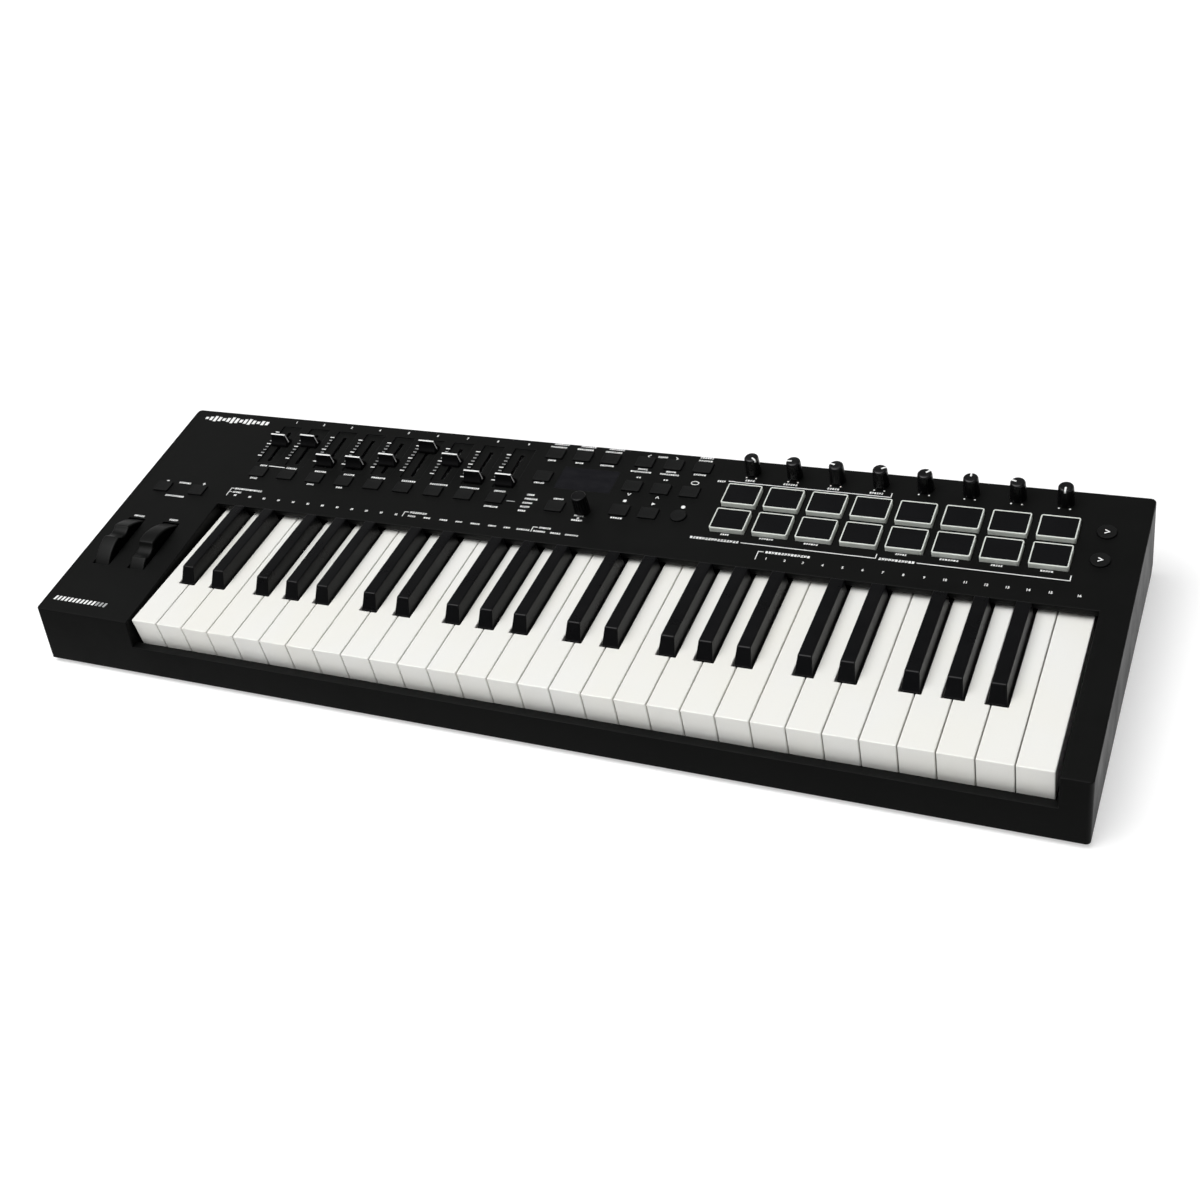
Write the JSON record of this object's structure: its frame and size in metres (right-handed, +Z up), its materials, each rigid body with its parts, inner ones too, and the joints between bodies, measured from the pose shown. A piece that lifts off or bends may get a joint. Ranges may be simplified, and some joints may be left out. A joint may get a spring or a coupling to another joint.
{
  "type": "midi keyboard",
  "caption": "Keyboard controller: sprung piano keys in a low sloping case with pads, faders, knobs, buttons, an encoder, a display window and two performance wheels.",
  "frame": {"origin": "middle of the case's width and depth, on the surface that the rubber feet stand on", "axes": "+X towards the treble end along the keys, +Y towards the rear connectors, +Z up"},
  "size_m": [0.795, 0.253, 0.0781],
  "materials": {
    "case_plastic": "fine moulded texture, matt black",
    "underside_plastic": "plain moulded black",
    "key_white": "satin white moulding",
    "key_black": "satin black moulding",
    "cap_black": "satin black with a white line",
    "knob_black": "soft-touch black with a white pointer",
    "button_black": "silicone-feel black",
    "pad_rubber": "translucent silicone with a dark top",
    "wheel_black": "soft black",
    "lens_dark": "smoked acrylic",
    "lcd": "display module",
    "frame_plastic": "moulded grey-black",
    "felt_red": "felt",
    "pcb": "solder mask",
    "spring_steel": "spring strip",
    "silicone_dome": "silicone",
    "pot_metal": "pressed steel can",
    "socket_black": "moulded connector",
    "screw_steel": "black-zinc screw",
    "foot_rubber": "rubber",
    "ribbon": "ribbon cable"
  },
  "bodies": {
    "case": {"top_case": "case_plastic", "bottom_case": "underside_plastic", "rubber_feet": "foot_rubber", "case_screws": "screw_steel", "keybed_frame": "frame_plastic", "key_felts": "felt_red", "key_contact_board": "pcb", "key_return_springs": "spring_steel", "key_contact_domes": "silicone_dome", "control_board": "pcb", "pad_board": "pcb", "slide_potentiometers": "pot_metal", "rotary_potentiometers": "pot_metal", "wheel_bracket": "frame_plastic", "display_lens": "lens_dark", "display_module": "lcd", "connector_board": "pcb", "rear_sockets": "socket_black", "ribbon_cables": "ribbon"},
    "keys_c": {"keys_c": "key_white"},
    "keys_c_sharp": {"keys_c_sharp": "key_black"},
    "keys_d": {"keys_d": "key_white"},
    "keys_d_sharp": {"keys_d_sharp": "key_black"},
    "keys_e": {"keys_e": "key_white"},
    "keys_f": {"keys_f": "key_white"},
    "keys_f_sharp": {"keys_f_sharp": "key_black"},
    "keys_g": {"keys_g": "key_white"},
    "keys_g_sharp": {"keys_g_sharp": "key_black"},
    "keys_a": {"keys_a": "key_white"},
    "keys_a_sharp": {"keys_a_sharp": "key_black"},
    "keys_b": {"keys_b": "key_white"},
    "fader_cap_1": {"fader_cap_1": "cap_black"},
    "fader_cap_2": {"fader_cap_2": "cap_black"},
    "fader_cap_3": {"fader_cap_3": "cap_black"},
    "fader_cap_4": {"fader_cap_4": "cap_black"},
    "fader_cap_5": {"fader_cap_5": "cap_black"},
    "fader_cap_6": {"fader_cap_6": "cap_black"},
    "fader_cap_7": {"fader_cap_7": "cap_black"},
    "fader_cap_8": {"fader_cap_8": "cap_black"},
    "fader_cap_9": {"fader_cap_9": "cap_black"},
    "knob_1": {"knob_1": "knob_black"},
    "knob_2": {"knob_2": "knob_black"},
    "knob_3": {"knob_3": "knob_black"},
    "knob_4": {"knob_4": "knob_black"},
    "knob_5": {"knob_5": "knob_black"},
    "knob_6": {"knob_6": "knob_black"},
    "knob_7": {"knob_7": "knob_black"},
    "knob_8": {"knob_8": "knob_black"},
    "encoder_shaft": {"encoder_shaft": "pot_metal"},
    "encoder_knob": {"encoder_knob": "knob_black"},
    "octave_buttons": {"octave_buttons": "button_black"},
    "fader_buttons": {"fader_buttons": "button_black"},
    "menu_buttons": {"menu_buttons": "button_black"},
    "transport_buttons": {"transport_buttons": "button_black"},
    "scene_buttons": {"scene_buttons": "button_black"},
    "pads_lower_row": {"pads_lower_row": "pad_rubber"},
    "pads_upper_row": {"pads_upper_row": "pad_rubber"},
    "pitch_wheel": {"pitch_wheel": "wheel_black"},
    "modulation_wheel": {"modulation_wheel": "wheel_black"},
    "power_switch": {"power_switch": "socket_black"}
  },
  "joints": [
    {"name": "pitch_wheel_turn", "type": "hinge", "parent": "case", "child": "pitch_wheel", "pos_m": [-0.3714, -0.03482, 0.02434], "axis": [1, 0, 0], "range_deg": [-25, 25], "stiffness_Nm_per_rad": 0.08},
    {"name": "modulation_wheel_turn", "type": "hinge", "parent": "case", "child": "modulation_wheel", "pos_m": [-0.3367, -0.03482, 0.02434], "axis": [-1, 0, 0], "range_deg": [0, 44]},
    {"name": "power_switch_rock", "type": "hinge", "parent": "case", "child": "power_switch", "pos_m": [-0.29, 0.1218, 0.032], "axis": [0, 0, 1], "range_deg": [-14, 0]},
    {"name": "encoder_push", "type": "slide", "parent": "case", "child": "encoder_shaft", "axis": [0, 0.0656, -0.9978], "range_m": [0, 0.0006], "stiffness_N_per_m": 2000, "springref_m": -0.0008},
    {"name": "encoder_turn", "type": "hinge", "parent": "encoder_shaft", "child": "encoder_knob", "pos_m": [0.0029, 0.0544, 0.05896], "axis": [0, -0.0656, 0.9978], "continuous": true},
    {"name": "octave_buttons_press", "type": "slide", "parent": "case", "child": "octave_buttons", "axis": [0, 0.0656, -0.9978], "range_m": [0, 0.0008], "stiffness_N_per_m": 3000, "springref_m": -0.0008},
    {"name": "fader_buttons_press", "type": "slide", "parent": "case", "child": "fader_buttons", "axis": [0, 0.0656, -0.9978], "range_m": [0, 0.0008], "stiffness_N_per_m": 13500, "springref_m": -0.0008},
    {"name": "menu_buttons_press", "type": "slide", "parent": "case", "child": "menu_buttons", "axis": [0, 0.0656, -0.9978], "range_m": [0, 0.0008], "stiffness_N_per_m": 7500, "springref_m": -0.0008},
    {"name": "transport_buttons_press", "type": "slide", "parent": "case", "child": "transport_buttons", "axis": [0, 0.0656, -0.9978], "range_m": [0, 0.0008], "stiffness_N_per_m": 13500, "springref_m": -0.0008},
    {"name": "scene_buttons_press", "type": "slide", "parent": "case", "child": "scene_buttons", "axis": [0, 0.0656, -0.9978], "range_m": [0, 0.0008], "stiffness_N_per_m": 3000, "springref_m": -0.0008},
    {"name": "pads_lower_row_press", "type": "slide", "parent": "case", "child": "pads_lower_row", "axis": [0, 0.0656, -0.9978], "range_m": [0, 0.0008], "stiffness_N_per_m": 6000, "springref_m": -0.0008},
    {"name": "pads_upper_row_press", "type": "slide", "parent": "case", "child": "pads_upper_row", "axis": [0, 0.0656, -0.9978], "range_m": [0, 0.0008], "stiffness_N_per_m": 6000, "springref_m": -0.0008},
    {"name": "knob_1_turn", "type": "hinge", "parent": "case", "child": "knob_1", "pos_m": [0.1176, 0.1141, 0.06288], "axis": [0, -0.0656, 0.9978], "range_deg": [-150, 150]},
    {"name": "fader_1_slide", "type": "slide", "parent": "case", "child": "fader_cap_1", "axis": [0, 0.9978, 0.0656], "range_m": [-0.01924, 0.01082]},
    {"name": "keys_c_press", "type": "hinge", "parent": "case", "child": "keys_c", "pos_m": [0, 0.0588, 0.034], "axis": [1, 0, 0], "range_deg": [0, 3.3], "stiffness_Nm_per_rad": 1.5, "springref_deg": -10.5},
    {"name": "keys_c_sharp_press", "type": "hinge", "parent": "case", "child": "keys_c_sharp", "pos_m": [0, 0.0588, 0.034], "axis": [1, 0, 0], "range_deg": [0, 3.4], "stiffness_Nm_per_rad": 1.2, "springref_deg": -10.5},
    {"name": "keys_d_press", "type": "hinge", "parent": "case", "child": "keys_d", "pos_m": [0, 0.0588, 0.034], "axis": [1, 0, 0], "range_deg": [0, 3.3], "stiffness_Nm_per_rad": 1.2, "springref_deg": -10.5},
    {"name": "keys_d_sharp_press", "type": "hinge", "parent": "case", "child": "keys_d_sharp", "pos_m": [0, 0.0588, 0.034], "axis": [1, 0, 0], "range_deg": [0, 3.4], "stiffness_Nm_per_rad": 1.2, "springref_deg": -10.5},
    {"name": "keys_e_press", "type": "hinge", "parent": "case", "child": "keys_e", "pos_m": [0, 0.0588, 0.034], "axis": [1, 0, 0], "range_deg": [0, 3.3], "stiffness_Nm_per_rad": 1.2, "springref_deg": -10.5},
    {"name": "keys_f_press", "type": "hinge", "parent": "case", "child": "keys_f", "pos_m": [0, 0.0588, 0.034], "axis": [1, 0, 0], "range_deg": [0, 3.3], "stiffness_Nm_per_rad": 1.2, "springref_deg": -10.5},
    {"name": "keys_f_sharp_press", "type": "hinge", "parent": "case", "child": "keys_f_sharp", "pos_m": [0, 0.0588, 0.034], "axis": [1, 0, 0], "range_deg": [0, 3.4], "stiffness_Nm_per_rad": 1.2, "springref_deg": -10.5},
    {"name": "keys_g_press", "type": "hinge", "parent": "case", "child": "keys_g", "pos_m": [0, 0.0588, 0.034], "axis": [1, 0, 0], "range_deg": [0, 3.3], "stiffness_Nm_per_rad": 1.2, "springref_deg": -10.5},
    {"name": "keys_g_sharp_press", "type": "hinge", "parent": "case", "child": "keys_g_sharp", "pos_m": [0, 0.0588, 0.034], "axis": [1, 0, 0], "range_deg": [0, 3.4], "stiffness_Nm_per_rad": 1.2, "springref_deg": -10.5},
    {"name": "keys_a_press", "type": "hinge", "parent": "case", "child": "keys_a", "pos_m": [0, 0.0588, 0.034], "axis": [1, 0, 0], "range_deg": [0, 3.3], "stiffness_Nm_per_rad": 1.2, "springref_deg": -10.5},
    {"name": "keys_a_sharp_press", "type": "hinge", "parent": "case", "child": "keys_a_sharp", "pos_m": [0, 0.0588, 0.034], "axis": [1, 0, 0], "range_deg": [0, 3.4], "stiffness_Nm_per_rad": 1.2, "springref_deg": -10.5},
    {"name": "keys_b_press", "type": "hinge", "parent": "case", "child": "keys_b", "pos_m": [0, 0.0588, 0.034], "axis": [1, 0, 0], "range_deg": [0, 3.3], "stiffness_Nm_per_rad": 1.2, "springref_deg": -10.5},
    {"name": "fader_2_slide", "type": "slide", "parent": "case", "child": "fader_cap_2", "axis": [0, 0.9978, 0.0656], "range_m": [-0.02165, 0.00842]},
    {"name": "fader_3_slide", "type": "slide", "parent": "case", "child": "fader_cap_3", "axis": [0, 0.9978, 0.0656], "range_m": [-0.0008, 0.02926]},
    {"name": "fader_4_slide", "type": "slide", "parent": "case", "child": "fader_cap_4", "axis": [0, 0.9978, 0.0656], "range_m": [-0.002, 0.02806]},
    {"name": "fader_5_slide", "type": "slide", "parent": "case", "child": "fader_cap_5", "axis": [0, 0.9978, 0.0656], "range_m": [-0.00892, 0.02115]},
    {"name": "fader_6_slide", "type": "slide", "parent": "case", "child": "fader_cap_6", "axis": [0, 0.9978, 0.0656], "range_m": [-0.02876, 0.0013]},
    {"name": "fader_7_slide", "type": "slide", "parent": "case", "child": "fader_cap_7", "axis": [0, 0.9978, 0.0656], "range_m": [-0.01644, 0.01363]},
    {"name": "fader_8_slide", "type": "slide", "parent": "case", "child": "fader_cap_8", "axis": [0, 0.9978, 0.0656], "range_m": [0, 0.03006]},
    {"name": "fader_9_slide", "type": "slide", "parent": "case", "child": "fader_cap_9", "axis": [0, 0.9978, 0.0656], "range_m": [0, 0.03006]},
    {"name": "knob_2_turn", "type": "hinge", "parent": "case", "child": "knob_2", "pos_m": [0.14945, 0.1141, 0.06288], "axis": [0, -0.0656, 0.9978], "range_deg": [-150, 150]},
    {"name": "knob_3_turn", "type": "hinge", "parent": "case", "child": "knob_3", "pos_m": [0.1813, 0.1141, 0.06288], "axis": [0, -0.0656, 0.9978], "range_deg": [-150, 150]},
    {"name": "knob_4_turn", "type": "hinge", "parent": "case", "child": "knob_4", "pos_m": [0.21315, 0.1141, 0.06288], "axis": [0, -0.0656, 0.9978], "range_deg": [-150, 150]},
    {"name": "knob_5_turn", "type": "hinge", "parent": "case", "child": "knob_5", "pos_m": [0.245, 0.1141, 0.06288], "axis": [0, -0.0656, 0.9978], "range_deg": [-150, 150]},
    {"name": "knob_6_turn", "type": "hinge", "parent": "case", "child": "knob_6", "pos_m": [0.27685, 0.1141, 0.06288], "axis": [0, -0.0656, 0.9978], "range_deg": [-150, 150]},
    {"name": "knob_7_turn", "type": "hinge", "parent": "case", "child": "knob_7", "pos_m": [0.3087, 0.1141, 0.06288], "axis": [0, -0.0656, 0.9978], "range_deg": [-150, 150]},
    {"name": "knob_8_turn", "type": "hinge", "parent": "case", "child": "knob_8", "pos_m": [0.34055, 0.1141, 0.06288], "axis": [0, -0.0656, 0.9978], "range_deg": [-150, 150]}
  ]
}
